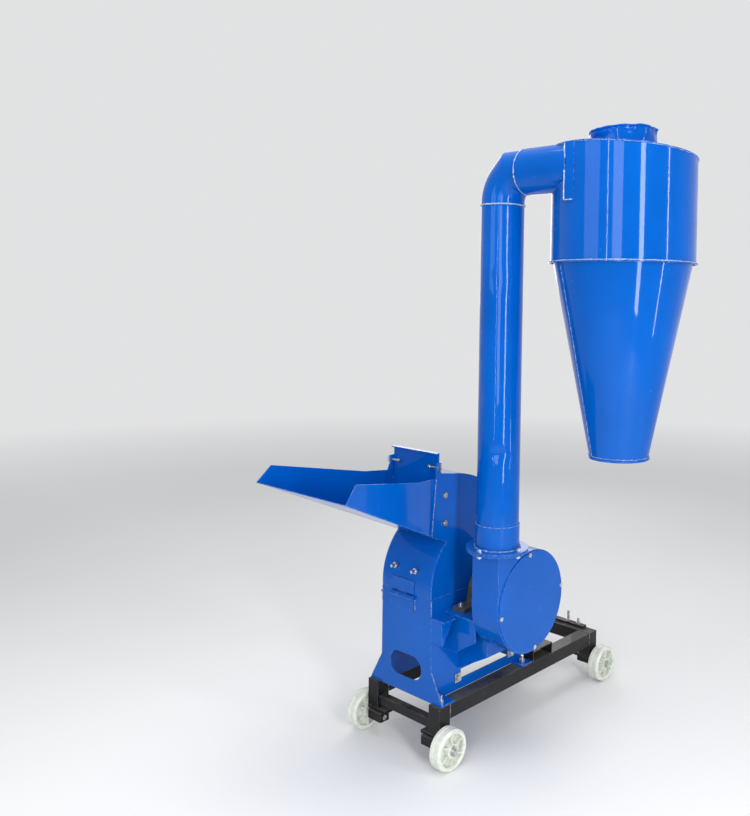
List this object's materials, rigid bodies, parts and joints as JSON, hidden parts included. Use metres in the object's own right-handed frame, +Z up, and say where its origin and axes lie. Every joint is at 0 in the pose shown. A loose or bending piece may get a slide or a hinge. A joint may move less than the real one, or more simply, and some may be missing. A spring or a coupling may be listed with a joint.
{
  "type": "hammer mill",
  "caption": "Wheeled feed hammer mill with a hinged cover, feed tray with sliding gate, suction fan, riser pipe and cyclone.",
  "frame": {"origin": "on the floor, at the middle of the four wheels' pattern", "axes": "+Z up, +Y from the feed tray's end to the motor's end, +X to the fan and cyclone side"},
  "size_m": [1.319, 1.575, 2.308],
  "materials": {
    "blue_enamel": "gloss",
    "black_enamel": "satin",
    "bare_steel": "machined",
    "zinc_hardware": "satin",
    "grey_casting": "painted",
    "nylon": "satin",
    "gasket_rubber": "matte"
  },
  "bodies": {
    "chassis": {"axle_brackets": "black_enamel", "bearing_brackets": "blue_enamel", "bearing_caps": "grey_casting", "bearing_housings": "grey_casting", "bearing_races": "bare_steel", "casing_fasteners": "zinc_hardware", "casing_front": "blue_enamel", "casing_lugs": "blue_enamel", "casing_rear": "blue_enamel", "casing_side_left": "blue_enamel", "casing_side_right": "blue_enamel", "chassis_members": "black_enamel", "cyclone_cone": "blue_enamel", "cyclone_cylinder": "blue_enamel", "cyclone_lid": "blue_enamel", "cyclone_rings": "blue_enamel", "discharge_pan": "blue_enamel", "elbow": "blue_enamel", "exhaust_tube": "blue_enamel", "fan_cover": "blue_enamel", "fan_fasteners": "zinc_hardware", "fan_housing": "blue_enamel", "flange_gasket": "gasket_rubber", "hinge_leaf_lower": "blue_enamel", "inlet_duct": "blue_enamel", "motor_adjusters": "zinc_hardware", "motor_rail": "black_enamel", "pipe_flanges": "blue_enamel", "riser_pipe": "blue_enamel", "screen": "bare_steel", "side_rails": "black_enamel", "stub_axles": "zinc_hardware", "suction_duct": "blue_enamel"},
    "rotor": {"rotor_shaft": "bare_steel", "rotor_discs": "bare_steel", "disc_spacers": "bare_steel", "hammer_pins": "bare_steel", "drive_pulley": "grey_casting", "fan_impeller": "bare_steel", "bearing_inner_rings": "bare_steel"},
    "cover": {"cover_sides": "blue_enamel", "cover_front": "blue_enamel", "cover_back": "blue_enamel", "cover_liner": "bare_steel", "cover_fasteners": "zinc_hardware", "tray_floor": "blue_enamel", "tray_walls": "blue_enamel", "gate_guides": "blue_enamel", "hinge_leaf_upper": "blue_enamel"},
    "feed_gate": {"feed_gate": "blue_enamel"},
    "gate_screw_left": {"gate_screw_left": "zinc_hardware"},
    "gate_screw_right": {"gate_screw_right": "zinc_hardware"},
    "hammer_row_1": {"hammer_row_1": "bare_steel"},
    "hammer_row_2": {"hammer_row_2": "bare_steel"},
    "hammer_row_3": {"hammer_row_3": "bare_steel"},
    "hammer_row_4": {"hammer_row_4": "bare_steel"},
    "wheel_front_left": {"wheel_front_left": "nylon"},
    "wheel_front_right": {"wheel_front_right": "nylon"},
    "wheel_rear_left": {"wheel_rear_left": "nylon"},
    "wheel_rear_right": {"wheel_rear_right": "nylon"}
  },
  "joints": [
    {"name": "wheel_front_left_spin", "type": "hinge", "parent": "chassis", "child": "wheel_front_left", "pos_m": [-0.23, -0.5, 0.075], "axis": [1, 0, 0], "continuous": true},
    {"name": "wheel_front_right_spin", "type": "hinge", "parent": "chassis", "child": "wheel_front_right", "pos_m": [0.23, -0.5, 0.075], "axis": [1, 0, 0], "continuous": true},
    {"name": "wheel_rear_left_spin", "type": "hinge", "parent": "chassis", "child": "wheel_rear_left", "pos_m": [-0.23, 0.5, 0.075], "axis": [1, 0, 0], "continuous": true},
    {"name": "wheel_rear_right_spin", "type": "hinge", "parent": "chassis", "child": "wheel_rear_right", "pos_m": [0.23, 0.5, 0.075], "axis": [1, 0, 0], "continuous": true},
    {"name": "rotor_spin", "type": "hinge", "parent": "chassis", "child": "rotor", "pos_m": [0, -0.255, 0.597], "axis": [1, 0, 0], "continuous": true},
    {"name": "hammer_row_1_swing", "type": "hinge", "parent": "rotor", "child": "hammer_row_1", "pos_m": [0, -0.17015, 0.68185], "axis": [1, 0, 0], "continuous": true},
    {"name": "hammer_row_2_swing", "type": "hinge", "parent": "rotor", "child": "hammer_row_2", "pos_m": [0, -0.33985, 0.68185], "axis": [1, 0, 0], "continuous": true},
    {"name": "hammer_row_3_swing", "type": "hinge", "parent": "rotor", "child": "hammer_row_3", "pos_m": [0, -0.33985, 0.51215], "axis": [1, 0, 0], "continuous": true},
    {"name": "hammer_row_4_swing", "type": "hinge", "parent": "rotor", "child": "hammer_row_4", "pos_m": [0, -0.17015, 0.51215], "axis": [1, 0, 0], "continuous": true},
    {"name": "cover_hinge", "type": "hinge", "parent": "chassis", "child": "cover", "pos_m": [-0.018, -0.509, 0.583], "axis": [1, 0, 0], "range_deg": [0, 75]},
    {"name": "gate_slide", "type": "slide", "parent": "cover", "child": "feed_gate", "axis": [0, 0, 1], "range_m": [-0.038, 0.06]},
    {"name": "gate_screw_left_turn", "type": "hinge", "parent": "cover", "child": "gate_screw_left", "pos_m": [-0.13, -0.47, 1.083], "axis": [1, 0, 0], "continuous": true},
    {"name": "gate_screw_right_turn", "type": "hinge", "parent": "cover", "child": "gate_screw_right", "pos_m": [0.13, -0.47, 1.083], "axis": [1, 0, 0], "continuous": true}
  ]
}
